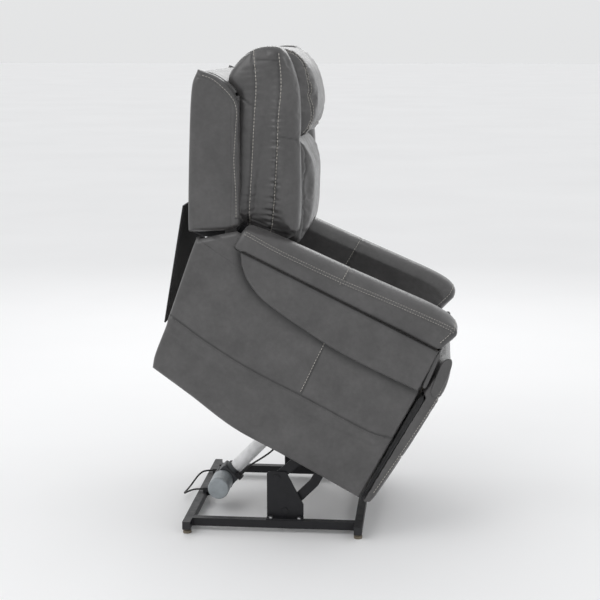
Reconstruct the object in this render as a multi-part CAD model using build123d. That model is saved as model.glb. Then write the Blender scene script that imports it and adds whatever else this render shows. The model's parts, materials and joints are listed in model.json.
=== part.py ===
from build123d import *
import os
from math import atan2, cos, degrees, hypot, pi, radians, sin, tan

# Power lift recliner chair, all sizes in millimetres and degrees.
# Two frames are used. The base frame has its origin on the floor in the middle of the steel base.
# The chair frame is fixed to the chair body: X forward, Z up, origin at the side panel's front bottom corner.
# The chair faces +X, its left side is +Y. Everything is drawn in the lifted position.

# ---- base -------------------------------------------------------------------------------------
BASE_LENGTH = 555          # outside to outside of the two crossbars
CROSSBAR_HALF = 335        # half length of a crossbar
TUBE = 25                  # square tube size
WALL = 2                   # tube wall
TUBE_BOTTOM = 15           # floor to underside of the tubes
RAIL_INSIDE = 270          # |Y| of the side rails' inner faces
GLIDE_RADIUS = 13
GLIDE_DISC = 9             # height of a glide's disc
GLIDE_Y = 318
PLATE_BOLTS_X = (-8, 80)
PLATE_BOLTS_Y = 284
BOLT_RADIUS = 4
BOLT_HEAD = (7.5, 5)       # across the corners' radius, height
HALF_BASE = BASE_LENGTH / 2
TUBE_TOP = TUBE_BOTTOM + TUBE
TUBE_Z = (TUBE_BOTTOM, TUBE_TOP)

# ---- chair body ---------------------------------------------------------------------------------
CHAIR_HALF_WIDTH = 380
PANEL_INSIDE = 345         # |Y| of the side panels' inner faces
PANEL_OUTSIDE = 372        # |Y| of the lower side panel, the overlay stands proud of it
ARM_INSIDE = 260           # |Y| of the arm's inner face beside the seat
LIFT_ANGLE = 30            # how far the lifted chair leans forward
LIFTED_ORIGIN = (270, 143)     # base frame X, Z of the chair frame's origin, lifted
SPRING_COUNT = 5
SPRING_STEP = 92           # between two springs
SPRING_LOOPS = 10
SPRING_WIRE = 2            # wire radius
WING_LOW, WING_HIGH = 312, 341     # |Y| of the wings' inner and outer faces
BACK_HALF = 310            # half width of the outside back
BACK_THICK = 30            # depth of the back frame
PILLOW_HALF = 190          # half width of the head pillow and the lumbar cushion
BOLSTER_OUTSIDE = 258      # |Y| of the side bolsters' outer faces

# ---- lift linkage ---------------------------------------------------------------------------------
UPPER_PIVOT = (9, 168)     # base frame, on the pivot plate
LOWER_PIVOT = (35, 62)
UPPER_LINK_END = (-156, 127)   # chair frame, on the lift bracket
LOWER_LINK_END = (-134, 61)
ACTUATOR_FOOT = (-225, 46)     # base frame, rear clevis pin of the lift actuator
ACTUATOR_HEAD = (-256, 166)    # chair frame, rod eye of the lift actuator
PIN_RADIUS = 6
PIN_GAP = 0.05             # radial running clearance of a pivot
LINK_HALF = 15             # half width of a lift link
LINK_THICK = 5
PLATE_THICK = 4
LANE_LOWER = 248           # |Y| where the lower lift links start
LANE_UPPER = 255           # |Y| where the upper lift links start
LANE_PLATE = 262           # |Y| where the pivot plates and lift brackets start
OPEN_PIVOT_HOLE = 13       # radius of the hole at an open pivot
HEAD_HOLE = 17             # the same, at the actuators' rod eyes
TORQUE_SHARE = 0.8         # how far along the upper links the torque tube is
LOWER_LINK_BEND = 18

# ---- actuators --------------------------------------------------------------------------------------
CLEVIS_IN = 9              # |Y| between which an actuator's tongue sits
CLEVIS_OUT = 14
HEAD_IN = 11               # |Y| between the ears at a rod eye
HEAD_OUT = 15
GEARBOX = (18, 86)         # along the actuator
GEARBOX_HALF = 31
MOTOR_RADIUS = 34
MOTOR_LENGTH = 95
MOTOR_ALONG = 46
MOTOR_RISE = 4             # the motor's axis above the actuator's
GUIDE_RADIUS = 22
GUIDE_BORE = 12
ROD_RADIUS = 10
LIFT_TUBE_LENGTH = 372     # from the rear pin to the guide tube's end
RECLINE_TUBE_LENGTH = 360
LIFT_ROD_START = 250       # inner end of a rod, from the rear pin
RECLINE_ROD_START = 300
LEAD = 6                   # diameter of both leads
ACTUATOR_LEAD = [(114, -26, -25), (146, -26, -25), (190, -23, -37), (238, -19, -45), (286, -16, -34),
                 (322, -16, -34)]
BASE_LEAD = [(-262, -28, 47), (-288, -28, 47), (-312, -30, 38), (-327, -14, 26), (-331, 12, 20),
             (-328, 44, 19), (-322, 80, 23), (-314, 118, 32), (-304, 152, 42), (-288, 178, 47),
             (-262, 178, 47)]

# ---- recline and footrest -------------------------------------------------------------------------
RAIL_LANE = 266            # |Y| where the mechanism rails start
BACK_LANE = 272            # |Y| where the backrest brackets start
CROSS_RADIUS = 12.5        # radius of the round cross tubes
FRONT_TUBE = (-120, 290)   # chair frame, the cross tubes
LIFT_TUBE = (-290, 205)
REAR_TUBE = (-700, 262)
PUSH_TUBE = (-600, 230)
RECLINE_PIVOT = (-640, 330)
RECLINE_FOOT = (-150, 255)
RECLINE_HEAD = (-600, 230)
RECLINE_Y = 95             # the recline actuator sits beside the middle of the chair
FOOT_PIVOT = (-200, 240)
FOOT_LINK = 265            # length of each footrest link
BOARD_PIVOT = (-12, 300)
FOOT_OUTER_LANE = 255      # |Y| where the lower footrest links start
FOOT_INNER_LANE = 249      # |Y| where the upper footrest links start
BOARD_LANE = 243           # |Y| where the board brackets start
FOOT_LINK_HALF = 11        # half width of a footrest link


def turned(point, centre, angle):
    """A point turned counter-clockwise about a centre, X to the right and Z up."""
    a = radians(angle)
    x, z = point[0] - centre[0], point[1] - centre[1]
    return centre[0] + x * cos(a) - z * sin(a), centre[1] + x * sin(a) + z * cos(a)


def chair_to_base(point):
    """A chair frame point in the base frame."""
    x, z = turned(point, (0, 0), -LIFT_ANGLE)
    return LIFTED_ORIGIN[0] + x, LIFTED_ORIGIN[1] + z


def direction(start, end):
    """Angle of the line from start to end above +X, and its length."""
    return degrees(atan2(end[1] - start[1], end[0] - start[0])), hypot(end[0] - start[0], end[1] - start[1])


def knee(start, end, length):
    """Where two equal links from start to end meet, on the side below the line."""
    angle, span = direction(start, end)
    drop = (length ** 2 - (span / 2) ** 2) ** 0.5
    return turned((start[0] + span / 2, start[1] - drop), start, angle)


# ---- solids ---------------------------------------------------------------------------------------
def plane_at(y):
    return Plane.XZ.offset(-y)


def slab(points, low, high, radius=0):
    """A flat piece: an XZ outline with rounded corners, between two Y values."""
    if radius:
        outline = FilletPolyline(*points, radius=radius, close=True)
    else:
        outline = Polyline(*points, close=True)
    return extrude(plane_at(high) * make_face(outline), amount=high - low)


def block(x_range, y_range, z_range):
    size = [b - a for a, b in (x_range, y_range, z_range)]
    return Pos(x_range[0], y_range[0], z_range[0]) * Box(*size, align=(Align.MIN,) * 3)


def rod_y(point, radius, low, high):
    """A round bar along Y."""
    return extrude(plane_at(high) * Pos(*point) * Circle(radius), amount=high - low)


def rod_x(start, end, radius, y=0, z=0):
    """A round bar along X."""
    return Pos((start + end) / 2, y, z) * Rot(0, 90, 0) * Cylinder(radius, end - start)


def link(start, end, half, low, high, holes=(), bend=0):
    """A flat link with round ends, bent sideways by bend, with round holes (point, radius)."""
    angle, span = direction(start, end)
    middle = turned((start[0] + span / 2, start[1] - bend), start, angle)
    body = None
    for a, b in ((start, middle), (middle, end)):
        tilt, length = direction(a, b)
        stretch = Pos(*a) * Rot(0, 0, tilt) * Pos(length / 2, 0) * Rectangle(length, 2 * half)
        part = stretch + Pos(*a) * Circle(half) + Pos(*b) * Circle(half)
        body = part if body is None else body + part
    solid = extrude(plane_at(high) * body, amount=high - low)
    for point, radius in holes:
        solid -= rod_y(point, radius, low - 1, high + 1)
    return solid


def square_tube(x_range, y_range, z_range, along):
    """A hollow square tube along one axis, 0 for X and 1 for Y."""
    spans = [x_range, y_range, z_range]
    inside = [(a + WALL, b - WALL) for a, b in spans]
    inside[along] = (spans[along][0] - 1, spans[along][1] + 1)
    return block(*spans) - block(*inside)


def mirrored(solid):
    return mirror(solid, about=Plane.XZ)


def pair(solid):
    """The piece and its mirror image, as two solids of one node."""
    return Compound([*solid.solids(), *mirrored(solid).solids()])


def cord_tube(points, diameter, name):
    """A lead: straight runs joined by tangent arcs as large as the runs allow."""
    corners = [Vector(*p) for p in points]
    radii = []
    for before, at, after in zip(corners, corners[1:], corners[2:]):
        turn = (at - before).get_angle(after - at)
        radii.append(0.45 * min((at - before).length, (after - at).length) / tan(radians(turn / 2)))
    path = FilletPolyline(*points, radius=radii)
    section = Plane(origin=path @ 0, z_dir=path % 0) * Circle(diameter / 2)
    tube = sweep(section, path=path)
    ideal = path.length * pi * diameter ** 2 / 4
    print(name, "length", round(path.length), "radii", [round(r) for r in radii],
          "volume ratio", round(tube.volume / ideal, 4))
    return tube


# ---- base pieces ------------------------------------------------------------------------------------
def crossbar(outer_x):
    inner_x = outer_x - TUBE if outer_x > 0 else outer_x + TUBE
    return square_tube(sorted((outer_x, inner_x)), (-CROSSBAR_HALF, CROSSBAR_HALF), TUBE_Z, 1)


def side_rail():
    x = HALF_BASE - TUBE
    rail = square_tube((-x, x), (RAIL_INSIDE, RAIL_INSIDE + TUBE), TUBE_Z, 0)
    for bolt_x in PLATE_BOLTS_X:
        rail -= Pos(bolt_x, PLATE_BOLTS_Y, TUBE_TOP) * Cylinder(BOLT_RADIUS, 10)
    return rail


def end_caps():
    """Plastic plugs in the four open ends of the crossbars."""
    caps = []
    for x in (-HALF_BASE, HALF_BASE - TUBE):
        lid = block((x, x + TUBE), (CROSSBAR_HALF, CROSSBAR_HALF + 3), TUBE_Z)
        lid = fillet(lid.faces().sort_by(Axis.Y)[-1].edges(), 2)
        stem = block((x + WALL, x + TUBE - WALL), (CROSSBAR_HALF - 14, CROSSBAR_HALF),
                     (TUBE_BOTTOM + WALL, TUBE_TOP - WALL))
        caps += pair(lid + stem).solids()
    return Compound(caps)


def glides():
    """Round feet: a stepped disc under each end of the crossbars."""
    neck = TUBE_BOTTOM - GLIDE_DISC
    foot = Pos(0, 0, GLIDE_DISC / 2) * Cylinder(GLIDE_RADIUS, GLIDE_DISC)
    foot += Pos(0, 0, GLIDE_DISC + neck / 2) * Cylinder(9, neck)
    foot = fillet(foot.edges().group_by(Axis.Z)[0], 1)
    rows = HALF_BASE - TUBE / 2
    places = [(x, y) for x in (-rows, rows) for y in (-GLIDE_Y, GLIDE_Y)]
    return Compound([s for x, y in places for s in (Pos(x, y, 0) * foot).solids()])


def pivot_plate():
    """Upright plate on the side rail that carries the two fixed lift pivots, with its foot flange."""
    outline = [(-22, TUBE_TOP), (92, TUBE_TOP), (92, 84), (38, 188), (-22, 188)]
    plate = slab(outline, LANE_PLATE, LANE_PLATE + PLATE_THICK, 10)
    flange = block((-22, 92), (LANE_PLATE, RAIL_INSIDE + TUBE - 2), (TUBE_TOP, TUBE_TOP + PLATE_THICK))
    rib = slab([(-22, TUBE_TOP), (-18, TUBE_TOP), (-18, 178), (-22, 178)], LANE_PLATE - 6, LANE_PLATE)
    plate = plate + flange + rib
    for point in (UPPER_PIVOT, LOWER_PIVOT):
        plate -= rod_y(point, PIN_RADIUS, LANE_PLATE - 1, LANE_PLATE + PLATE_THICK + 1)
    for x in PLATE_BOLTS_X:
        plate -= Pos(x, PLATE_BOLTS_Y, TUBE_TOP) * Cylinder(BOLT_RADIUS, 20)
    return plate


def plate_bolts():
    """Hexagon head bolts through the flange into the side rail's top wall."""
    bolts = []
    for x in PLATE_BOLTS_X:
        shank = Pos(x, PLATE_BOLTS_Y, TUBE_TOP) * Cylinder(BOLT_RADIUS, 2 * PLATE_THICK)
        radius, height = BOLT_HEAD
        head = extrude(RegularPolygon(radius, 6), amount=height)
        head = Pos(x, PLATE_BOLTS_Y, TUBE_TOP + PLATE_THICK) * head
        bolts += pair(shank + head).solids()
    return Compound(bolts)


def headed_pin(point, low, high, head_low=False, head_high=False):
    """A pivot pin along Y with a flat head outside the stated ends."""
    pin = rod_y(point, PIN_RADIUS, low, high)
    if head_low:
        pin += rod_y(point, PIN_RADIUS + 4, low - 3, low)
    if head_high:
        pin += rod_y(point, PIN_RADIUS + 4, high, high + 3)
    return pin


def base_pins():
    """Pivot pins of the lift links and of the lift actuator, fixed in the base."""
    upper = headed_pin(UPPER_PIVOT, LANE_UPPER - 0.4, LANE_PLATE + PLATE_THICK, True, True)
    lower = headed_pin(LOWER_PIVOT, LANE_LOWER - 0.4, LANE_PLATE + PLATE_THICK, True, True)
    foot = headed_pin(ACTUATOR_FOOT, -CLEVIS_OUT, CLEVIS_OUT, head_low=True, head_high=True)
    return Compound([*pair(upper).solids(), *pair(lower).solids(), *foot.solids()])


def actuator_clevis():
    """Two ears welded on the front of the rear crossbar, with the actuator's rear pin."""
    x, z = ACTUATOR_FOOT
    rear = -HALF_BASE + TUBE
    outline = [(rear, TUBE_BOTTOM + 3), (x + 6, z - 14), (x + 14, z), (x + 6, z + 12), (rear, TUBE_TOP - 1)]
    ear = slab(outline, CLEVIS_IN, CLEVIS_OUT) - rod_y(ACTUATOR_FOOT, PIN_RADIUS, 0, 20)
    return pair(ear)


# ---- linear actuator, drawn along +X from its rear pin, then placed ---------------------------------

def along(start, end, y=0):
    """Location that puts a piece drawn along +X on the line from start to end, in an XZ plane."""
    angle, _ = direction(start, end)
    return Location((start[0], y, start[1]), (0, -angle, 0))


def gearbox():
    """Gearbox with its flange band, rear tongue, motor collar on its right and nose round the guide tube."""
    low, high = GEARBOX
    case = [(low, -30), (high, -30), (high, 34), (low + 8, 34), (low, 20)]
    body = slab(case, -GEARBOX_HALF, GEARBOX_HALF, 6)
    band = slab([(low + 26, -33), (low + 34, -33), (low + 34, 37), (low + 26, 37)], -34, 34, 2)
    tongue = [(-10, -11), (low + 4, -16), (low + 4, 16), (-10, 11)]
    tongue = slab(tongue, -CLEVIS_IN + 0.5, CLEVIS_IN - 0.5, 4)
    nose = rod_x(high, high + 14, 28)
    collar = rod_y((MOTOR_ALONG, MOTOR_RISE), MOTOR_RADIUS - 2, -GEARBOX_HALF - 6, -GEARBOX_HALF)
    body = body + band + tongue + nose + collar - rod_y((0, 0), PIN_RADIUS + PIN_GAP, -30, 30)
    return body - rod_x(high - 26, high + 34, GUIDE_BORE)


def motor():
    """Round motor across the gearbox, with a rolled edge and end cap."""
    start = GEARBOX_HALF + 6
    edge = start + MOTOR_LENGTH - 12
    axis = (MOTOR_ALONG, MOTOR_RISE)
    body = rod_y(axis, MOTOR_RADIUS, -edge, -start)
    body += rod_y(axis, MOTOR_RADIUS - 2, -edge - 4, -edge)
    body += rod_y(axis, MOTOR_RADIUS, -start - MOTOR_LENGTH, -edge - 4)
    return fillet(body.faces().sort_by(Axis.Y)[0].edges(), 5)


def guide_tube(length):
    """Tube in which the rod runs, with an end collar."""
    start = GEARBOX[1] + 14
    tube = rod_x(start, length, GUIDE_RADIUS) + rod_x(length - 22, length - 2, GUIDE_RADIUS + 2)
    return tube - rod_x(-25, length + 25, GUIDE_BORE)


def lift_rod():
    """Rod from inside the guide tube to the eye at its end."""
    rod = rod_x(LIFT_ROD_START, LIFT_LENGTH - 8, ROD_RADIUS)
    head = rod_y((LIFT_LENGTH, 0), 14, -9, 9)
    return rod + head - rod_y((LIFT_LENGTH, 0), PIN_RADIUS, -20, 20)


def recline_rod():
    """Recline rod ending in an open ring round the push tube."""
    bar = rod_x(RECLINE_ROD_START, RECLINE_LENGTH - 26, ROD_RADIUS)
    ring = rod_y((RECLINE_LENGTH, 0), 31, -9, 9)
    return bar + ring - rod_y((RECLINE_LENGTH, 0), CROSS_RADIUS + 10, -20, 20)


def head_ears(head, tube_at):
    """Two ears from a cross tube to a rod eye; their hole is large, because this pivot is open."""
    ear = link(tube_at, head, HEAD_HOLE + 6, HEAD_IN, HEAD_OUT, [(head, HEAD_HOLE)])
    return ear - rod_y(tube_at, CROSS_RADIUS, 0, 40)


# ---- chair body pieces, chair frame -----------------------------------------------------------------

def lift_bracket():
    """Plate under the rail with the chair's two lift pivots."""
    outline = [(-235, 300), (-100, 300), (-100, 45), (-150, 30), (-186, 110)]
    plate = slab(outline, LANE_PLATE, LANE_PLATE + PLATE_THICK, 14)
    plate -= rod_y(UPPER_LINK_END, PIN_RADIUS, 200, 300)
    plate -= rod_y(FOOT_PIVOT, PIN_RADIUS + 3, 200, 300)
    plate -= rod_y(FRONT_TUBE, CROSS_RADIUS, 200, 300)
    return plate - rod_y(LOWER_LINK_END, OPEN_PIVOT_HOLE, 200, 300)


def mechanism_rail():
    """Side plate of the mechanism, with a low lip along its inside."""
    outline = [(-80, 230), (-522, 230), (-522, 288), (-572, 288), (-612, 258), (-680, 236), (-740, 236),
               (-740, 290), (-680, 352), (-600, 352), (-556, 300), (-80, 300)]
    rail = slab(outline, RAIL_LANE, RAIL_LANE + PLATE_THICK, 8)
    rail += block((-510, -90), (RAIL_LANE, RAIL_LANE + 22), (230, 234))
    for point in (RECLINE_PIVOT, FOOT_PIVOT):
        rail -= rod_y(point, PIN_RADIUS, 200, 300)
    for point in (FRONT_TUBE, REAR_TUBE, LIFT_TUBE):
        rail -= rod_y(point, CROSS_RADIUS, 200, 300)
    return rail


def chair_pins():
    """Pivot pins of the lift links, the footrest links and the backrest, fixed in the chair body."""
    pins = [headed_pin(UPPER_LINK_END, LANE_UPPER - 0.4, LANE_PLATE + PLATE_THICK, head_low=True),
            headed_pin(FOOT_PIVOT, FOOT_OUTER_LANE - 0.4, RAIL_LANE + PLATE_THICK, head_low=True),
            headed_pin(RECLINE_PIVOT, RAIL_LANE, BACK_LANE + LINK_THICK + 0.4, head_high=True)]
    foot = headed_pin(RECLINE_FOOT, RECLINE_Y - CLEVIS_OUT, RECLINE_Y + CLEVIS_OUT, True, True)
    return Compound([*[s for p in pins for s in pair(p).solids()], *foot.solids()])


def cross_tube(point, half=RAIL_LANE + PLATE_THICK + 2):
    """A round tube across the chair, such as the push tube that the recline rod pushes on."""
    return rod_y(point, CROSS_RADIUS, -half, half) - rod_y(point, CROSS_RADIUS - WALL, -half - 1, half + 1)


def lift_cross_tube():
    """Cross tube that takes the lift actuator's push."""
    tube = cross_tube(LIFT_TUBE)
    ears = head_ears(ACTUATOR_HEAD, LIFT_TUBE)
    return tube + ears + mirrored(ears)


def front_cross_tube():
    """Front cross tube with the clevis of the recline actuator."""
    tube = cross_tube(FRONT_TUBE)
    ear = link(FRONT_TUBE, RECLINE_FOOT, 14, RECLINE_Y + CLEVIS_IN, RECLINE_Y + CLEVIS_OUT,
               [(RECLINE_FOOT, PIN_RADIUS)])
    ear -= rod_y(FRONT_TUBE, CROSS_RADIUS, 0, 200)
    return tube + ear + Pos(0, -CLEVIS_IN - CLEVIS_OUT, 0) * ear


def side_panel():
    """Padded outer side: the lower panel and, on top of it, the overlay with its curved lower edge."""
    outline = [(0, 0), (-253, -5), (-434, -11), (-597, 9), (-737, 24), (-763, 154), (-773, 203), (-812, 425),
               (-722, 512), (-712, 472), (-670, 466), (-35, 509), (-25, 502), (-14, 386)]
    panel = slab(outline, PANEL_INSIDE, PANEL_OUTSIDE)
    curve = Spline((-684, 466), (-624, 421), (-543, 390), (-439, 372), (-355, 362), (-245, 363), (-16, 373))
    rim = Polyline((-16, 373), (-26, 500), (-36, 507), (-668, 464), (-684, 466))
    overlay = extrude(plane_at(CHAIR_HALF_WIDTH) * make_face([*curve.edges(), *rim.edges()]),
                      amount=CHAIR_HALF_WIDTH - PANEL_OUTSIDE)
    return panel + overlay


def arm_pad():
    """Padded arm: domed top over the arm's whole width and an inner face beside the seat."""
    crown = slab([(-700, 474), (-40, 513), (-10, 540), (-4, 584), (-40, 612), (-111, 626), (-223, 612),
                  (-376, 594), (-559, 573), (-692, 550)], ARM_INSIDE, PANEL_INSIDE)
    band = [(-706, 473), (-670, 467), (-36, 511), (-10, 540), (-8, 588), (-30, 604), (-494, 552), (-700, 545)]
    outer = slab(band, PANEL_INSIDE, CHAIR_HALF_WIDTH)
    inner = slab([(-690, 358), (-34, 358), (-34, 520), (-692, 484)], ARM_INSIDE, ARM_INSIDE + 10)
    return crown + outer + inner


def arm_frame():
    """Wooden frame inside each arm: front post, rear post, top and bottom rails."""
    low, high = ARM_INSIDE + 21, PANEL_INSIDE
    outside = slab([(-672, 110), (-30, 110), (-30, 508), (-672, 468)], low + 20, high)
    window = slab([(-622, 170), (-90, 170), (-90, 440), (-622, 410)], low, high + 5)
    return outside - window


def seat_frame():
    """Steel frame that carries the springs."""
    low, high = 303, 323
    outer = block((-600, -30), (-RAIL_LANE, RAIL_LANE), (low, high))
    inner = block((-575, -55), (-RAIL_LANE + 26, RAIL_LANE - 26), (low - 1, high + 1))
    return outer - inner


def seat_springs():
    """Sinuous springs from the seat frame's rear to its front."""
    solids = []
    start, stop = -576, -54
    step = (stop - start) / SPRING_LOOPS
    for i in range(SPRING_COUNT):
        y = (i - (SPRING_COUNT - 1) / 2) * SPRING_STEP
        points = [(start, y)]
        for k in range(SPRING_LOOPS):
            swing = 20 if k % 2 else -20
            points += [(start + step * (k + 0.2), y + swing), (start + step * (k + 0.8), y + swing)]
        points.append((stop, y))
        path = Pos(0, 0, 326) * FilletPolyline(*points, radius=8)
        solids += sweep(Plane(origin=path @ 0, z_dir=path % 0) * Circle(SPRING_WIRE), path=path).solids()
    return Compound(solids)


def seat_cushion():
    outline = [(-575, 332), (-30, 332), (-12, 400), (-14, 470), (-40, 505), (-110, 512), (-300, 478),
               (-520, 452), (-575, 430)]
    return slab(outline, -ARM_INSIDE + 2, ARM_INSIDE - 2, 12)


def control_box():
    """Supply and control box hung under the seat frame, with its three lead sockets."""
    box = fillet(block((-500, -380), (-190, -60), (262, 302)).edges().filter_by(Axis.Z), 6)
    sockets = [block((-380, -372), (y, y + 24), (272, 290)) for y in (-180, -140, -100)]
    for socket in sockets:
        box += socket
    return box


# ---- backrest, chair frame --------------------------------------------------------------------------
def back_bracket():
    """Plate from the back frame down to the recline pivot and the push tube."""
    outline = [(-712, 525), (-712, 460), (-676, 430), (-614, 340), (-580, 235), (-605, 208), (-628, 222),
               (-664, 330), (-722, 430), (-748, 525)]
    plate = slab(outline, BACK_LANE, BACK_LANE + LINK_THICK, 5)
    plate -= rod_y(RECLINE_PIVOT, PIN_RADIUS + PIN_GAP, 200, 300)
    return plate - rod_y(PUSH_TUBE, CROSS_RADIUS, 200, 300)


def back_line(z):
    """X of the back frame's front face at a height."""
    return -712 - (z - 455) * 205 / 390


def back_slice(low, high):
    """Outline of a stretch of the back frame, which is BACK_THICK deep."""
    return [(back_line(low) - BACK_THICK, low), (back_line(low), low), (back_line(high), high),
            (back_line(high) - BACK_THICK, high)]


def back_frame():
    """Back posts with a top, a middle and a bottom rail."""
    post = slab(back_slice(455, 845), BACK_LANE + LINK_THICK, BACK_HALF - 8)
    frame = post + mirrored(post) + slab(back_slice(465, 545), -BACK_LANE, BACK_LANE)
    foot = slab(back_slice(530, 545), -BACK_LANE - LINK_THICK, BACK_LANE + LINK_THICK)
    for low, high in ((607, 667), (772, 845)):
        frame += slab(back_slice(low, high), -BACK_LANE - LINK_THICK, BACK_LANE + LINK_THICK)
    return frame + foot


def wing():
    outline = [(-746, 500), (-842, 437), (-858, 452), (-957, 633), (-1050, 822), (-1052, 850), (-992, 866),
               (-938, 855), (-903, 832), (-836, 721), (-726, 528)]
    return slab(outline, WING_LOW, WING_HIGH)


def outside_back():
    """Upholstered rear cover of the back and the roll over its top."""
    outline = [(-842, 470), (-830, 474), (-925, 640), (-1020, 815), (-1010, 848), (-940, 850), (-922, 857),
               (-940, 868), (-1000, 876), (-1044, 862), (-1050, 822), (-957, 633), (-858, 452)]
    return slab(outline, -BACK_HALF, BACK_HALF)


def bolster():
    """Side bolster of the back cushion, from the lumbar area up to the top."""
    outline = [(-978, 888), (-952, 985), (-884, 1035), (-852, 1012), (-784, 968), (-727, 880), (-700, 826),
               (-650, 740), (-566, 590), (-585, 524), (-690, 520), (-760, 600), (-880, 830), (-905, 868)]
    return slab(outline, PILLOW_HALF + 1, BOLSTER_OUTSIDE)


def head_pillow():
    outline = [(-930, 870), (-952, 985), (-884, 1040), (-840, 1050), (-791, 1033), (-749, 994), (-713, 938),
               (-688, 890), (-708, 810), (-870, 800)]
    return slab(outline, -PILLOW_HALF, PILLOW_HALF, 8)


def lumbar_cushion():
    outline = [(-866, 796), (-706, 806), (-660, 760), (-625, 700), (-578, 627), (-548, 560), (-560, 520),
               (-690, 518), (-752, 580)]
    return slab(outline, -PILLOW_HALF, PILLOW_HALF, 8)


def dust_panel():
    """Stiff black cloth that closes the body behind the seat and swings with the back."""
    return slab([(-904, 484), (-900, 485), (-775, 144), (-779, 143)], -282, 282)


# ---- footrest, chair frame ----------------------------------------------------------------------------
FOOT_KNEE = knee(FOOT_PIVOT, BOARD_PIVOT, FOOT_LINK)


def lower_foot_link():
    """Link from the mechanism rail to the knee, with the knee pin."""
    arm = link(FOOT_PIVOT, FOOT_KNEE, FOOT_LINK_HALF, FOOT_OUTER_LANE, FOOT_OUTER_LANE + LINK_THICK,
               [(FOOT_PIVOT, PIN_RADIUS + PIN_GAP)])
    return arm + headed_pin(FOOT_KNEE, FOOT_INNER_LANE - 0.4, FOOT_OUTER_LANE)


def upper_foot_link():
    return link(FOOT_KNEE, BOARD_PIVOT, FOOT_LINK_HALF, FOOT_INNER_LANE, FOOT_INNER_LANE + LINK_THICK,
                [(FOOT_KNEE, PIN_RADIUS + PIN_GAP), (BOARD_PIVOT, PIN_RADIUS + PIN_GAP)])


def board_bracket():
    plate = slab([(14, 250), (14, 350), (-22, 314), (-22, 286)], BOARD_LANE, BOARD_LANE + LINK_THICK)
    foot = block((10, 14), (BOARD_LANE - 24, BOARD_LANE + LINK_THICK), (250, 350))
    return plate + foot + headed_pin(BOARD_PIVOT, BOARD_LANE + LINK_THICK, FOOT_INNER_LANE + LINK_THICK + 0.4)


def footrest_board():
    return slab([(14, 20), (28, 20), (30, 365), (14, 365)], -335, 335)


def footrest_pad():
    """Padded leg panel that closes the chair's front, thicker along its top."""
    outline = [(17, -2), (36, 8), (42, 174), (48, 300), (48, 384), (40, 473), (24, 526), (14, 542), (3, 508),
               (-5, 470), (-5, 394), (6, 368), (31, 368), (29, 16), (14, 16)]
    return slab(outline, -CHAIR_HALF_WIDTH + 4, CHAIR_HALF_WIDTH - 4)


# ---- lift links ------------------------------------------------------------------------------------
UPPER_END = chair_to_base(UPPER_LINK_END)
LOWER_END = chair_to_base(LOWER_LINK_END)


def upper_link():
    """Straight lift link between the pivot plate and the lift bracket."""
    return link(UPPER_PIVOT, UPPER_END, LINK_HALF, LANE_UPPER, LANE_UPPER + LINK_THICK,
                [(UPPER_PIVOT, PIN_RADIUS + PIN_GAP), (UPPER_END, PIN_RADIUS + PIN_GAP)])


def torque_tube():
    """Tube that ties the two upper lift links together."""
    place = tuple(a + (b - a) * TORQUE_SHARE for a, b in zip(UPPER_PIVOT, UPPER_END))
    return cross_tube(place, LANE_UPPER)


def lower_link():
    """Bent link with the pin of the open pivot at its upper end."""
    arm = link(LOWER_PIVOT, LOWER_END, LINK_HALF, LANE_LOWER, LANE_LOWER + LINK_THICK,
               [(LOWER_PIVOT, PIN_RADIUS + PIN_GAP)], LOWER_LINK_BEND)
    return arm + rod_y(LOWER_END, PIN_RADIUS, LANE_LOWER + LINK_THICK, LANE_PLATE + PLATE_THICK + 1)


# ---- leads ------------------------------------------------------------------------------------------

def lead_socket():
    """Plug in the gearbox face, round strain relief on it."""
    low = GEARBOX[1]
    body = block((low, low + 16), (-37, -15), (-36, -14)) - rod_x(low - 30, low + 30, 28.2)
    return body + rod_x(low + 16, low + 28, 5, -26, -25)


def lead_connector():
    """In-line connector clipped under the guide tube's upper end."""
    start, y, z = ACTUATOR_LEAD[-1]
    return fillet(rod_x(start, start + 40, 8, y, z).edges(), 2)


def base_lead_clips():
    """Clips with strain reliefs on top of the rear crossbar, one at each end of the base lead."""
    clips = []
    for y in (BASE_LEAD[0][1], BASE_LEAD[-1][1]):
        body = block((-262, -242), (y - 8, y + 8), (TUBE_TOP, TUBE_TOP + 14))
        clips += fillet(body.edges().filter_by(Axis.Z), 3).solids()
    return Compound(clips)


# ---- placing ----------------------------------------------------------------------------------------
CHAIR_PLACE = Location((LIFTED_ORIGIN[0], 0, LIFTED_ORIGIN[1]), (0, LIFT_ANGLE, 0))
LIFT_HEAD_BASE = chair_to_base(ACTUATOR_HEAD)
LIFT_LENGTH = direction(ACTUATOR_FOOT, LIFT_HEAD_BASE)[1]
LIFT_ACTUATOR = along(ACTUATOR_FOOT, LIFT_HEAD_BASE)
RECLINE_ACTUATOR = CHAIR_PLACE * along(RECLINE_FOOT, RECLINE_HEAD, RECLINE_Y)
RECLINE_LENGTH = direction(RECLINE_FOOT, RECLINE_HEAD)[1]
NO_PLACE = Location()


def both(name, solid):
    return {f"{name}_left": solid, f"{name}_right": mirrored(solid)}


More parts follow.
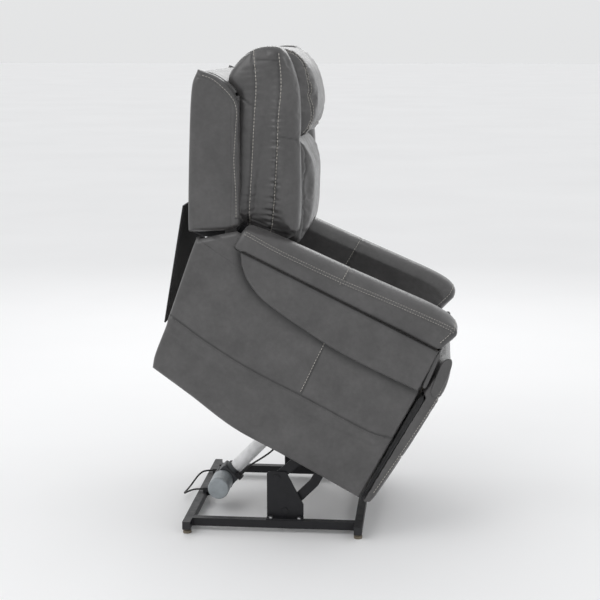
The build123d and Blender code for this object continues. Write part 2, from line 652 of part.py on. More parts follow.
BODIES = {
    "base": (NO_PLACE, {
        "base_front_crossbar": crossbar(HALF_BASE),
        "base_rear_crossbar": crossbar(-HALF_BASE),
        **both("base_side_rail", side_rail()),
        "tube_end_caps": end_caps(),
        "floor_glides": glides(),
        **both("pivot_plate", pivot_plate()),
        "plate_bolts": plate_bolts(),
        "base_pivot_pins": base_pins(),
        "actuator_clevis": actuator_clevis(),
        "base_lead": cord_tube(BASE_LEAD, LEAD, "base_lead"),
        "base_lead_clips": base_lead_clips(),
    }),
    "upper_link": (NO_PLACE, {
        **both("upper_lift_link", upper_link()),
        "link_torque_tube": torque_tube(),
    }),
    "lower_link": (NO_PLACE, {
        "lower_lift_links": pair(lower_link()),
    }),
    "actuator": (LIFT_ACTUATOR, {
        "lift_gearbox": gearbox(),
        "lift_motor": motor(),
        "lift_guide_tube": guide_tube(LIFT_TUBE_LENGTH),
        "lead_socket": lead_socket(),
        "actuator_lead": cord_tube(ACTUATOR_LEAD, LEAD, "actuator_lead"),
        "lead_connector": lead_connector(),
    }),
    "rod": (LIFT_ACTUATOR, {
        "lift_rod": lift_rod(),
        "lift_rod_pin": rod_y((LIFT_LENGTH, 0), PIN_RADIUS, -18, 18),
    }),
    "chair": (CHAIR_PLACE, {
        "lift_brackets": pair(lift_bracket()),
        "mechanism_rails": pair(mechanism_rail()),
        "chair_pivot_pins": chair_pins(),
        "front_cross_tube": front_cross_tube(),
        "lift_cross_tube": lift_cross_tube(),
        "rear_cross_tube": cross_tube(REAR_TUBE),
        **both("side_panel", side_panel()),
        **both("arm_pad", arm_pad()),
        "arm_frames": pair(arm_frame()),
        "seat_frame": seat_frame(),
        "seat_springs": seat_springs(),
        "seat_cushion": seat_cushion(),
        "control_box": control_box(),
    }),
    "recline_actuator": (RECLINE_ACTUATOR, {
        "recline_gearbox": gearbox(),
        "recline_motor": motor(),
        "recline_guide_tube": guide_tube(RECLINE_TUBE_LENGTH),
    }),
    "recline_rod": (RECLINE_ACTUATOR, {
        "recline_rod": recline_rod(),
    }),
    "backrest": (CHAIR_PLACE, {
        "back_frame": back_frame(),
        "back_brackets": pair(back_bracket()),
        "back_push_tube": cross_tube(PUSH_TUBE, BACK_LANE + LINK_THICK),
        "outside_back": outside_back(),
        **both("back_wing", wing()),
        **both("back_bolster", bolster()),
        "head_pillow": head_pillow(),
        "lumbar_cushion": lumbar_cushion(),
        "dust_panel": dust_panel(),
    }),
    "foot_link": (CHAIR_PLACE, {
        "lower_footrest_links": pair(lower_foot_link()),
    }),
    "foot_upper_link": (CHAIR_PLACE, {
        "upper_footrest_links": pair(upper_foot_link()),
    }),
    "footrest": (CHAIR_PLACE, {
        "footrest_board": footrest_board(),
        "footrest_brackets": pair(board_bracket()),
        "footrest_pad": footrest_pad(),
    }),
}


def placed():
    """Every node's solids in the base frame, by node name."""
    return {node: [s.moved(place) for s in shape.solids()]
            for place, nodes in BODIES.values() for node, shape in nodes.items()}


def row_shift(nodes):
    """Move that puts the origin under the middle of the whole chair's box, on the floor."""
    box = Compound([s for solids in nodes.values() for s in solids]).bounding_box()
    return -(box.min.X + box.max.X) / 2, -(box.min.Y + box.max.Y) / 2, -box.min.Z


NODES = placed()
SHIFT = row_shift(NODES)

os.makedirs("parts", exist_ok=True)
for node, solids in NODES.items():
    moved = [s.moved(Location(SHIFT)) for s in solids]
    shape = moved[0] if len(moved) == 1 else Compound(moved)
    export_step(shape, f"parts/{node}.step")
print("nodes", len(NODES), "shift", [round(v, 2) for v in SHIFT])
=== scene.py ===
import bpy
import bmesh
import json
import math
import random
import numpy as np
from mathutils import Matrix, Vector
from mathutils.bvhtree import BVHTree
from mathutils.kdtree import KDTree

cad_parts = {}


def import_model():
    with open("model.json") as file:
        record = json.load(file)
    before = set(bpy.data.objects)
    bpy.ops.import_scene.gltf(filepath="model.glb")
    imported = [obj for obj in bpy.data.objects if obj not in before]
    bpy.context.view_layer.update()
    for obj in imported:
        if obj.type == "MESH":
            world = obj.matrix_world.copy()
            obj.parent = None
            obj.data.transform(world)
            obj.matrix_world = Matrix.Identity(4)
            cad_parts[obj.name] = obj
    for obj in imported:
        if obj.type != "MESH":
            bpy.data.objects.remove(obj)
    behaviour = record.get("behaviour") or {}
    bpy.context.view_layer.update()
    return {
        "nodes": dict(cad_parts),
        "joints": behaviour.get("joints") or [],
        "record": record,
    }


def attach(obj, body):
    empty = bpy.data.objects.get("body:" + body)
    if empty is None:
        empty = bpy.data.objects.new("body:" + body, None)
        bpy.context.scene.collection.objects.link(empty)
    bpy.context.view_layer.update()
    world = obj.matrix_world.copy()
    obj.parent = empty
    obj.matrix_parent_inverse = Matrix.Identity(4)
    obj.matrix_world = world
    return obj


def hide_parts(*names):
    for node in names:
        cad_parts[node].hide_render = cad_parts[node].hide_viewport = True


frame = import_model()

# Outlines are given in millimetres in the chair's own frame: X forward, Z up, origin at the side panel's
# front bottom corner. CHAIR moves them to the row frame, where everything is in metres.
MM = 0.001
LIFT_ANGLE = math.radians(30)
RECLINE_PIVOT = Vector((-640, 0, 330)) * MM          # chair frame
JOINTS = {joint["name"]: joint for joint in frame["joints"]}
TURN = Matrix.Rotation(LIFT_ANGLE, 4, "Y")
CHAIR = Matrix.Translation(Vector(JOINTS["recline"]["pos_m"]) - TURN @ RECLINE_PIVOT) @ TURN
SIDES = {"left": 1, "right": -1}
ARM_OUTSIDE = 380
ARM_INSIDE = 260
PANEL_INSIDE = 345
# Name of the vertex attribute that carries painted shade for the leather material.
SEAM_SHADE = "seam_shade"


# ---- curves and meshes ----
def eased(count, spacing):
    """Numbers from 0 to 1 that lie closer together at both ends."""
    even = np.linspace(0, 1, count)
    return (1 - spacing) * even + spacing * (0.5 - 0.5 * np.cos(np.pi * even))


def smooth_line(points, count, spacing=0.0):
    """Points on a Catmull-Rom curve through the given ones, evenly spaced, or closer at both ends."""
    p = np.array(points, float)
    ext = np.vstack([2 * p[0] - p[1], p, 2 * p[-1] - p[-2]])
    t = np.linspace(0, 1, 24, endpoint=False)[:, None]
    spans = []
    for a, b, c, d in zip(ext, ext[1:], ext[2:], ext[3:]):
        spans.append(0.5 * (2 * b + (c - a) * t + (2 * a - 5 * b + 4 * c - d) * t ** 2
                            + (3 * b - a - 3 * c + d) * t ** 3))
    dense = np.vstack(spans + [p[-1:]])
    along = np.concatenate([[0], np.cumsum(np.linalg.norm(np.diff(dense, axis=0), axis=1))])
    share = eased(count, spacing)
    return np.column_stack([np.interp(share * along[-1], along, dense[:, k]) for k in range(p.shape[1])])


def patch(bottom, top, left, right, nu, nv, spacing=0.6):
    """A grid of XZ points that fills the outline made by four curves."""
    low, high = smooth_line(bottom, nu, spacing)[None], smooth_line(top, nu, spacing)[None]
    near, far = smooth_line(left, nv, spacing)[:, None], smooth_line(right, nv, spacing)[:, None]
    u, v = eased(nu, spacing)[None, :, None], eased(nv, spacing)[:, None, None]
    low_corners = (1 - u) * (1 - v) * low[:, :1] + u * (1 - v) * low[:, -1:]
    high_corners = (1 - u) * v * high[:, :1] + u * v * high[:, -1:]
    corners = low_corners + high_corners
    return (1 - v) * low + v * high + (1 - u) * near + u * far - corners


def distance_to(points, line):
    """Distance from each XZ point to a line of points."""
    flat = points.reshape(-1, points.shape[-1])
    chunks = np.array_split(flat, 1 + len(flat) // 2000)
    steps = [np.sqrt(((chunk[:, None] - line[None]) ** 2).sum(-1)).min(1) for chunk in chunks]
    return np.concatenate(steps).reshape(points.shape[:-1])


def rounding(d, radius):
    """How far a rounded edge of this radius drops at a distance from the outline."""
    c = np.clip(d, 0, radius)
    return radius - np.sqrt(np.maximum(radius ** 2 - (radius - c) ** 2, 0))


def padded_slab(grid, y_in, y_out, round_in, round_out, relief=None):
    """Closed mesh of a flat padded piece: an outline in XZ, between two Y values, with rounded edges."""
    nv, nu = grid.shape[:2]
    border = np.vstack([grid[0], grid[-1], grid[:, 0], grid[:, -1]])
    d = distance_to(grid, border)
    front = y_out - rounding(d, round_out)
    if relief is not None:
        front = front + relief(grid[..., 0], grid[..., 1], d)
    back = y_in + rounding(d, round_in)
    verts = [np.stack([grid[..., 0], y, grid[..., 1]], -1).reshape(-1, 3) for y in (front, back)]
    index = np.arange(nv * nu).reshape(nv, nu)
    quads = np.stack([index[:-1, :-1], index[:-1, 1:], index[1:, 1:], index[1:, :-1]], -1).reshape(-1, 4)
    loop = np.concatenate([index[0], index[1:, -1], index[-1, -2::-1], index[-2:0:-1, 0]])
    after = np.roll(loop, -1)
    rim = np.stack([loop, after, after + nv * nu, loop + nv * nu], -1)
    return np.vstack(verts), np.vstack([quads, quads[:, ::-1] + nv * nu, rim])


def ring_mesh(rings):
    """Closed mesh through a row of rings with the same number of points."""
    count = len(rings[0])
    index = np.arange(len(rings) * count).reshape(-1, count)
    after = np.roll(index, -1, 1)
    faces = np.stack([index[:-1], after[:-1], after[1:], index[1:]], -1).reshape(-1, 4).tolist()
    return np.vstack(rings), faces + [index[0, ::-1].tolist(), index[-1].tolist()]


def joined(*meshes):
    """One list of vertices and faces from several."""
    verts, faces, start = [], [], 0
    for v, f in meshes:
        verts.append(v)
        faces += [tuple(int(i) + start for i in face) for face in f]
        start += len(v)
    return np.vstack(verts), faces


def linked(name, data):
    """A new object, linked to the scene."""
    obj = bpy.data.objects.new(name, data)
    bpy.context.scene.collection.objects.link(obj)
    return obj


def new_object(name, mesh_data, material, body, side=1, place=CHAIR):
    """Makes the piece, mirrored for the right side, and lets it ride on its body."""
    verts, faces = mesh_data
    mesh = bpy.data.meshes.new(name)
    mesh.from_pydata([tuple(place @ Vector((x * MM, y * side * MM, z * MM))) for x, y, z in verts], [],
                     [tuple(int(i) for i in face) for face in faces])
    work = bmesh.new()
    work.from_mesh(mesh)
    bmesh.ops.remove_doubles(work, verts=work.verts, dist=1e-6)
    bmesh.ops.recalc_face_normals(work, faces=work.faces)
    work.to_mesh(mesh)
    work.free()
    for polygon in mesh.polygons:
        polygon.use_smooth = True
    obj = linked(name, mesh)
    mesh.materials.append(material)
    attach(obj, body)
    return obj


def apply_modifiers(obj):
    """Replaces the piece's mesh with what its modifiers make of it."""
    made = bpy.data.meshes.new_from_object(obj.evaluated_get(bpy.context.evaluated_depsgraph_get()))
    obj.modifiers.clear()
    obj.data = made
    for polygon in made.polygons:
        polygon.use_smooth = True


def coordinates(mesh):
    """The mesh's points as an array."""
    flat = np.empty(len(mesh.vertices) * 3)
    mesh.vertices.foreach_get("co", flat)
    return flat.reshape(-1, 3)


def set_coordinates(mesh, values):
    mesh.vertices.foreach_set("co", np.asarray(values, float).ravel())
    mesh.update()


def inflate(obj, voxel=6, pressure=4.0, cap=22, frames=16):
    """Remeshes the piece and swells it as sewn leather over filling, by cloth simulation."""
    remesh = obj.modifiers.new("remesh", "REMESH")
    remesh.mode = "VOXEL"
    remesh.voxel_size = voxel * MM
    apply_modifiers(obj)
    start = coordinates(obj.data)
    cloth = obj.modifiers.new("cloth", "CLOTH")
    cloth.settings.quality = 4
    cloth.settings.mass = 0.3
    cloth.settings.tension_stiffness = 12
    cloth.settings.compression_stiffness = 12
    cloth.settings.bending_stiffness = 0.6
    cloth.settings.use_pressure = True
    cloth.settings.uniform_pressure_force = pressure
    cloth.settings.effector_weights.gravity = 0
    cloth.point_cache.frame_start = 1
    cloth.point_cache.frame_end = frames
    scene = bpy.context.scene
    for number in range(1, frames + 1):
        scene.frame_set(number)
    swollen = bpy.data.meshes.new_from_object(obj.evaluated_get(bpy.context.evaluated_depsgraph_get()))
    end = coordinates(swollen)
    obj.modifiers.clear()
    scene.frame_set(1)
    move = end - start
    length = np.linalg.norm(move, axis=1, keepdims=True) + 1e-9
    limit = cap * MM
    set_coordinates(obj.data, start + move / length * limit * np.tanh(length / limit))
    bpy.data.meshes.remove(swollen)


def paint_seam_shade(obj, values):
    """Adds to how much painted shade each point of the piece gets, from 0 to 1, for the shade in seams,
    grooves and under overlapping edges.
    """
    found = obj.data.attributes.get(SEAM_SHADE) or obj.data.attributes.new(SEAM_SHADE, "FLOAT", "POINT")
    before = np.empty(len(obj.data.vertices))
    found.data.foreach_get("value", before)
    found.data.foreach_set("value", np.maximum(before, np.clip(values, 0, 1)).astype(np.float32))


def tree_of(points):
    """A search tree over the points."""
    tree = KDTree(len(points))
    for i, p in enumerate(points):
        tree.insert(p, i)
    tree.balance()
    return tree


def normals_of(mesh):
    flat = np.empty(len(mesh.vertices) * 3)
    mesh.vertex_normals.foreach_get("vector", flat)
    return flat.reshape(-1, 3)


def seam_in(obj, lines, width=5, depth=4):
    """Presses grooves into the piece along lines given in the row frame."""
    points = [p for line in lines for p in line]
    tree = tree_of(points)
    mesh = obj.data
    normals = normals_of(mesh)
    where = coordinates(mesh)
    reach = np.array([tree.find(p)[2] for p in where]) / (width * MM)
    set_coordinates(mesh, where - normals * (depth * MM * np.exp(-reach ** 2))[:, None])
    # Painted shade in the pressed grooves.
    paint_seam_shade(obj, 0.9 * np.exp(-(reach * 1.3) ** 2))


def subdivided(obj, levels=1):
    obj.modifiers.new("smooth", "SUBSURF").levels = levels
    obj.modifiers["smooth"].render_levels = levels


class Surface:
    """The outside of one or more pieces, to lay seams and stitches on."""

    def __init__(self, *objects):
        graph = bpy.context.evaluated_depsgraph_get()
        work = bmesh.new()
        for obj in objects:
            shape = obj.evaluated_get(graph).to_mesh()
            work.from_mesh(shape)
            obj.evaluated_get(graph).to_mesh_clear()
        self.tree = BVHTree.FromBMesh(work)
        work.free()

    def lay(self, points, count_per_m=250, outward=None):
        """Evenly spaced (place, normal, forward, sideways) on the surface along a rough line."""
        line = [Vector(p) for p in points]
        length = sum((b - a).length for a, b in zip(line, line[1:]))
        spread = smooth_line([tuple(p) for p in line], max(3, int(length * count_per_m)))
        found = []
        for p in spread:
            if outward is not None:
                place, normal, _, _ = self.tree.ray_cast(Vector(p) + outward * 0.12, -outward, 0.3)
            else:
                place, normal, _, _ = self.tree.find_nearest(Vector(p))
            if place is not None:
                found.append((place, normal))
        frames = []
        for i, (place, normal) in enumerate(found):
            ahead = found[min(i + 1, len(found) - 1)][0] - found[max(i - 1, 0)][0]
            if ahead.length < 1e-9:
                continue
            ahead.normalize()
            frames.append((place, normal, ahead, normal.cross(ahead).normalized()))
        return frames


def places(frames):
    """The points alone of surface frames."""
    return [frame[0] for frame in frames]


def to_row(x, y, z, side=1):
    return CHAIR @ Vector((x * MM, y * side * MM, z * MM))


def smoothed(frames, half=3):
    """The same frames with their normals averaged along the line."""
    out = []
    for i, (place, *_) in enumerate(frames):
        near = frames[max(0, i - half):i + half + 1]
        normal = sum((f[1] for f in near), Vector()).normalized()
        ahead = sum((f[2] for f in near), Vector()).normalized()
        out.append((place, normal, ahead, normal.cross(ahead).normalized()))
    return out


def stitch_rows(surface, line, offsets, raised=0.3, **looks):
    """Rows of stitches beside a line, each laid on the surface itself."""
    frames = smoothed(surface.lay(line))
    rows = []
    for offset in offsets:
        beside = [place + across * (offset * MM) + normal * 0.002 for place, normal, _, across in frames]
        rows.append(stitch_mesh(smoothed(surface.lay(beside, 400), 2), raised=raised, **looks))
    return joined(*rows)


def strip_mesh(frames, width, height, segments=8):
    """A flat sewn strip with a domed section along surface frames, in row metres."""
    rings = []
    for place, normal, _, across in frames:
        ring = []
        for k in range(segments + 1):
            a = math.pi * k / segments
            beside = across * (math.cos(a) * width * MM / 2)
            ring.append(place + beside + normal * (math.sin(a) ** 0.7 * height * MM))
        ring.append(place - across * (width * MM / 2) - normal * 0.002)
        ring.append(place + across * (width * MM / 2) - normal * 0.002)
        rings.append(np.array([tuple(p) for p in ring]))
    return ring_mesh(rings)


# Share of the stitch's length, share of its thickness, and rise in millimetres.
STITCH_SECTIONS = ((0, 0.35, -0.5), (0.15, 0.9, 0), (0.5, 1.0, 0.15), (0.85, 0.9, 0), (1, 0.35, -0.5))


def stitch_mesh(frames, offset=0.0, raised=0.0, length=6.5, gap=3.0, thick=0.8, seed=1):
    """Separate thread stitches along surface frames, offset sideways in millimetres."""
    rng = random.Random(seed)
    line = [place + across * (offset * MM) + normal * ((raised + 0.25) * MM)
            for place, normal, _, across in frames]
    along = [0.0]
    for a, b in zip(line, line[1:]):
        along.append(along[-1] + (b - a).length)
    meshes, start = [], 0.0
    period = (length + gap) * MM

    def at(s):
        i = int(np.searchsorted(along, s)) - 1
        i = min(max(i, 0), len(line) - 2)
        share = (s - along[i]) / max(along[i + 1] - along[i], 1e-9)
        return line[i].lerp(line[i + 1], share), frames[i][1]

    while start + length * MM < along[-1]:
        (a, normal), (b, _) = at(start), at(start + length * MM)
        ahead = (b - a).normalized()
        across = normal.cross(ahead).normalized()
        a = a + across * rng.uniform(-0.15, 0.15) * MM
        rings = []
        for share, size, sink in STITCH_SECTIONS:
            middle = a.lerp(b, share) + normal * (sink * MM)
            ring = []
            for k in range(6):
                turn = 2 * math.pi * k / 6
                beside, above = math.cos(turn) * thick * size, math.sin(turn) * thick * size
                ring.append(middle + across * (beside * MM) + normal * (above * MM))
            rings.append(np.array([tuple(p) for p in ring]))
        meshes.append(ring_mesh(rings))
        start += period
    return joined(*meshes) if meshes else (np.zeros((0, 3)), [])


def smooth_loop(points, count):
    """Evenly spaced points on a closed smooth curve through the given ones."""
    p = [tuple(q) for q in points]
    line = smooth_line(p[-3:] + p + p[:3], 40 * count)
    near_start = ((line - np.array(p[0])) ** 2).sum(1)
    half = len(line) // 2
    first, last = int(near_start[:half].argmin()), half + int(near_start[half:].argmin())
    return smooth_line(line[first:last + 1:8], count + 1)[:-1]


def inward_of(loop):
    """Unit directions from each point of a closed flat loop to its inside."""
    ahead = np.roll(loop, -1, 0) - np.roll(loop, 1, 0)
    ahead /= np.linalg.norm(ahead, axis=1, keepdims=True)
    area = (loop[:, 0] * np.roll(loop[:, 1], -1) - np.roll(loop[:, 0], -1) * loop[:, 1]).sum()
    return np.column_stack([-ahead[:, 1], ahead[:, 0]]) * (1 if area > 0 else -1)


def pillow(outline, low, high, radius, count=110, inset=0, step=14):
    """Closed mesh of a cushion: a smooth closed outline in XZ, between two Y values, with rounded ends."""
    loop = smooth_loop(outline, count)
    inward = inward_of(loop)
    turns = np.linspace(0, math.pi / 2, 6)
    ends = [(radius * (1 - math.cos(t)), radius * (1 - math.sin(t))) for t in turns]
    middle = np.linspace(low + radius, high - radius, max(3, int((high - low) / step)))[1:-1]
    stations = [(low + y, sink) for y, sink in ends] + [(y, 0) for y in middle]
    stations += [(high - y, sink) for y, sink in ends[::-1]]
    rings = []
    for y, sink in stations:
        flat = loop + inward * (sink + inset)
        rings.append(np.column_stack([flat[:, 0], np.full(count, y), flat[:, 1]]))
    return ring_mesh(rings)


def in_chair(obj):
    """The piece's points in the chair frame, in millimetres."""
    back = np.array(CHAIR.inverted())
    return (coordinates(obj.data) @ back[:3, :3].T + back[:3, 3]) / MM


def set_in_chair(obj, points):
    ahead = np.array(CHAIR)
    set_coordinates(obj.data, (points * MM) @ ahead[:3, :3].T + ahead[:3, 3])


def mirrored(obj, name, body):
    """The same piece on the chair's right side."""
    mesh = obj.data.copy()
    where = coordinates(mesh)
    where[:, 1] *= -1
    mesh.flip_normals()
    set_coordinates(mesh, where)
    twin = linked(name, mesh)
    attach(twin, body)
    return twin


def pleats(obj, line, reach=34, depth=1.6, period=21, seed=3, pull=0.0):
    """Small gathers square to a sewn line, given in the row frame, that fade away from it."""
    rng = np.random.default_rng(seed)
    tree = tree_of(line)
    run = np.concatenate([[0], np.cumsum([(b - a).length for a, b in zip(line, line[1:])])]) / MM
    waves = int(run[-1] / period) + 3
    size = rng.uniform(0.25, 1.0, waves)
    drift = np.interp(run, np.linspace(0, run[-1], waves), rng.uniform(-0.35, 0.35, waves)) * period
    mesh = obj.data
    normals = normals_of(mesh)
    where = coordinates(mesh)
    moved = where.copy()
    for k, p in enumerate(where):
        _, i, gap = tree.find(p)
        gap /= MM
        if gap > 3.2 * reach:
            continue
        s = run[i] + drift[i]
        strength = size[int(np.clip(s / period, 0, waves - 1))]
        fade = math.exp(-(gap / reach) ** 2)
        wave = strength * depth * math.cos(2 * math.pi * s / period)
        moved[k] = p + normals[k] * (MM * fade * (wave + pull))
    set_coordinates(mesh, moved)


# ---- camera ----
CAMERA_PLACE = (0.3875, -4.497, 1.511)
CAMERA_PITCH, CAMERA_YAW = math.radians(10.42), math.radians(5.5)
LENS, SENSOR_WIDTH = 85.8, 36


def set_camera():
    """A long lens from the chair's right side, a little above the arms."""
    data = bpy.data.cameras.new("camera")
    data.lens = LENS
    data.sensor_width = SENSOR_WIDTH
    obj = linked("camera", data)
    obj.location = CAMERA_PLACE
    obj.rotation_euler = (math.pi / 2 - CAMERA_PITCH, 0, CAMERA_YAW)
    bpy.context.scene.camera = obj


set_camera()


# ---- materials ----
class Shader:
    """A node material with its object coordinates ready."""

    def __init__(self, name, **sockets):
        self.material = bpy.data.materials.new(name)
        self.material.use_nodes = True
        self.tree = self.material.node_tree
        self.surface = self.tree.nodes["Principled BSDF"]
        for key, value in sockets.items():
            self.surface.inputs[key.replace("_", " ")].default_value = value
        self.where = self.tree.nodes.new("ShaderNodeTexCoord").outputs["Object"]

    def put(self, socket, value):
        """Links the socket, or sets its constant."""
        if isinstance(value, bpy.types.NodeSocket):
            self.tree.links.new(value, socket)
        else:
            socket.default_value = (*value, 1) if socket.type == "RGBA" else value

    def node(self, kind, **sockets):
        made = self.tree.nodes.new(kind)
        for key, value in sockets.items():
            self.put(made.inputs[key.replace("_", " ")], value)
        return made

    def noise(self, scale, detail=4.0, roughness=0.55, stretch=None):
        where = self.where
        if stretch is not None:
            where = self.node("ShaderNodeMapping", Vector=where, Scale=stretch).outputs[0]
        made = self.node("ShaderNodeTexNoise", Vector=where, Scale=scale, Detail=detail, Roughness=roughness)
        return made.outputs[0]

    def cells(self, scale):
        made = self.node("ShaderNodeTexVoronoi", Vector=self.where, Scale=scale)
        return made.outputs["Distance"]

    def ramp(self, value, *stops):
        made = self.node("ShaderNodeValToRGB", Fac=value)
        bar = made.color_ramp
        while len(bar.elements) < len(stops):
            bar.elements.new(0.5)
        for element, (place, colour) in zip(bar.elements, stops):
            element.position = place
            element.color = (*colour, 1) if len(colour) == 3 else (colour[0], colour[0], colour[0], 1)
        return made.outputs[0]

    def between(self, value, low, high):
        return self.ramp(value, (0.3, low), (0.7, high))

    def mix(self, share, one, other, kind="MIX"):
        made = self.tree.nodes.new("ShaderNodeMix")
        made.data_type = "RGBA"
        made.blend_type = kind
        for socket, value in ((made.inputs[0], share), (made.inputs[6], one), (made.inputs[7], other)):
            self.put(socket, value)
        return made.outputs[2]

    def math(self, kind, one, other):
        made = self.tree.nodes.new("ShaderNodeMath")
        made.operation = kind
        for socket, value in zip(made.inputs, (one, other)):
            self.put(socket, value)
        return made.outputs[0]

    def finish(self, colour, roughness=None, height=None, depth=0.0004, strength=0.5):
        self.tree.links.new(colour, self.surface.inputs["Base Color"])
        if roughness is not None:
            self.tree.links.new(roughness, self.surface.inputs["Roughness"])
        if height is not None:
            bump = self.node("ShaderNodeBump", Height=height, Strength=strength, Distance=depth)
            self.tree.links.new(bump.outputs[0], self.surface.inputs["Normal"])
        return self.material


def shades(base, low, high):
    return tuple(c * low for c in base), tuple(c * high for c in base)


def leather(name, base):
    """Pigmented leather: cloudy tone, pebbled grain, fine creases, a light finish, and painted shade in seams
    and grooves.
    """
    make = Shader(name, Sheen_Weight=0.08, Sheen_Roughness=0.4, Specular_IOR_Level=0.62, Coat_Weight=0.35,
                  Coat_Roughness=0.24)
    dark, light = shades(base, 0.74, 1.26)
    cloud = make.ramp(make.noise(11, 6, 0.62), (0.32, dark), (0.52, base), (0.72, light))
    mottle = make.between(make.noise(70, 5, 0.65), (0.86,), (1.1,))
    # Painted shade: the colour goes toward a dark copy of the base where the seam_shade attribute is high.
    seams = make.tree.nodes.new("ShaderNodeAttribute")
    seams.attribute_name = SEAM_SHADE
    shaded = make.math("MULTIPLY", seams.outputs["Fac"], 0.88)
    # Mix of the leather's own tone with the painted shade colour.
    worn_and_shaded = make.mix(shaded, make.mix(1.0, cloud, mottle, "MULTIPLY"), tuple(c * 0.12 for c in base))
    grain = make.math("ADD", make.math("MULTIPLY", make.cells(620), 0.7), make.noise(900, 3, 0.6))
    creases = make.math("MULTIPLY", make.noise(95, 6, 0.6), 1.6)
    rough = make.between(make.noise(32, 4), (0.3,), (0.46,))
    return make.finish(worn_and_shaded, rough, make.math("ADD", grain, creases), 0.0005, 0.42)


def coated(name, base, rough=(0.38, 0.52), wear=0.2, worn_and_shaded=(0.1, 0.1, 0.105)):
    """Powder coat: orange peel, uneven tone and a little wear in scattered patches."""
    make = Shader(name, Specular_IOR_Level=0.3)
    colour = make.between(make.noise(40, 5), *shades(base, 0.88, 1.15))
    scuffs = make.ramp(make.noise(150, 8, 0.75), (0.66, (0.0,)), (0.72, (wear * 0.5,)))
    colour = make.mix(scuffs, colour, worn_and_shaded)
    return make.finish(colour, make.between(make.noise(60), (rough[0],), (rough[1],)),
                       make.noise(1400, 2), 0.00015, 0.4)


def plated(name, base):
    """Zinc-plated steel with a faint drawn grain."""
    make = Shader(name, Metallic=1.0)
    colour = make.between(make.noise(120, 4), *shades(base, 0.8, 1.2))
    rough = make.between(make.noise(260, 3, stretch=(1, 12, 1)), (0.26,), (0.42,))
    return make.finish(colour, rough, make.noise(900, 2, stretch=(1, 10, 1)), 0.00008, 0.4)


def moulded(name, base, rough=(0.42, 0.58)):
    """Moulded plastic or rubber."""
    make = Shader(name, Specular_IOR_Level=0.35)
    colour = make.between(make.noise(55, 5), *shades(base, 0.85, 1.18))
    return make.finish(colour, make.between(make.noise(90), (rough[0],), (rough[1],)),
                       make.noise(2200, 2), 0.0001, 0.35)


def plywood(name, base):
    """Bare plywood with its grain along X."""
    make = Shader(name)
    dark, light = shades(base, 0.62, 1.15)
    grain = make.noise(26, 6, 0.6, stretch=(1, 9, 9))
    colour = make.ramp(grain, (0.3, dark), (0.5, base), (0.7, light))
    return make.finish(colour, make.ramp(grain, (0.3, (0.62,)), (0.7, (0.78,))), grain, 0.0004, 0.5)


def woven(name, base):
    """Thin woven dust cloth."""
    make = Shader(name, Sheen_Weight=0.1)
    waves = []
    for direction in ("Y", "Z"):
        wave = make.node("ShaderNodeTexWave", Vector=make.where, Scale=420.0)
        wave.bands_direction = direction
        waves.append(wave.outputs["Fac"])
    weave = make.math("MULTIPLY", *waves)
    dark, light = shades(base, 0.7, 1.8)
    cloud = make.ramp(make.noise(30, 5), (0.3, dark), (0.7, light))
    colour = make.mix(0.5, cloud, make.ramp(weave, (0, dark), (1, light)))
    return make.finish(colour, make.between(make.noise(50), (0.75,), (0.9,)), weave, 0.0004, 0.6)


def thread(name, base):
    """Twisted sewing thread."""
    make = Shader(name, Sheen_Weight=0.3)
    colour = make.between(make.noise(220, 4), *shades(base, 0.72, 1.08))
    rough = make.between(make.noise(300), (0.6,), (0.8,))
    return make.finish(colour, rough, make.noise(2500, 2), 0.0002, 0.5)


SLOTS = {entry["slot"]: tuple(entry["base_color"][:3]) for entry in frame["record"]["materials"]}
MATERIALS = {
    "black_steel": coated("black_steel_coat", (0.012, 0.012, 0.014)),
    "zinc_steel": plated("zinc_steel_plate", SLOTS["zinc_steel"]),
    "white_tube": coated("white_tube_coat", (0.84, 0.84, 0.85), (0.3, 0.4), 0.06, (0.6, 0.6, 0.6)),
    "motor_grey": coated("motor_grey_coat", SLOTS["motor_grey"], (0.34, 0.46), 0.3, (0.6, 0.6, 0.6)),
    "gearbox_grey": moulded("gearbox_grey_plastic", (0.055, 0.058, 0.062)),
    "black_plastic": moulded("black_plastic_moulded", SLOTS["black_plastic"]),
    "glide_plastic": moulded("glide_plastic_moulded", tuple(c * 0.25 for c in SLOTS["glide_plastic"])),
    "lead_black": moulded("lead_black_rubber", SLOTS["lead_black"], (0.45, 0.6)),
    "grey_leather": leather("grey_leather_grain", (0.059, 0.057, 0.057)),
    "frame_wood": plywood("frame_wood_ply", SLOTS["frame_wood"]),
    "black_cloth": woven("black_cloth_weave", SLOTS["black_cloth"]),
}
LEATHER = MATERIALS["grey_leather"]
THREAD = thread("seam_thread", (0.54, 0.51, 0.46))
DARK_THREAD = thread("dark_thread", (0.05, 0.05, 0.05))

SHARP_EDGED = ("crossbar", "rail", "plate", "bracket", "link", "clevis", "frame", "box", "gearbox", "glides",
               "caps", "clips", "tube", "board", "socket")
for name, node in frame["nodes"].items():
    for holder in node.material_slots:
        slot_name = holder.material.name.split(".")[0]
        holder.link = "OBJECT"
        holder.material = MATERIALS[slot_name]
    if any(word in name for word in SHARP_EDGED):
        bevel = node.modifiers.new("edges", "BEVEL")
        bevel.width = 0.0009
        bevel.segments = 2
        bevel.limit_method = "ANGLE"
        bevel.angle_limit = math.radians(38)
        bevel.harden_normals = False


def upholstered(obj, *nodes, fill=None):
    """Hides the CAD parts that the leather piece stands for, and returns the piece. Its fill, how firmly it
    is stuffed, is not used.
    """
    if nodes:
        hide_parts(*nodes)
    return obj


def sewn_on(name, mesh_data, body, material=THREAD):
    """A row of stitches, or a strip, that lies on a piece. Its mesh is in row metres."""
    verts, faces = mesh_data
    upholstered(new_object(name, (verts / MM, faces), material, body, place=Matrix.Identity(4)))


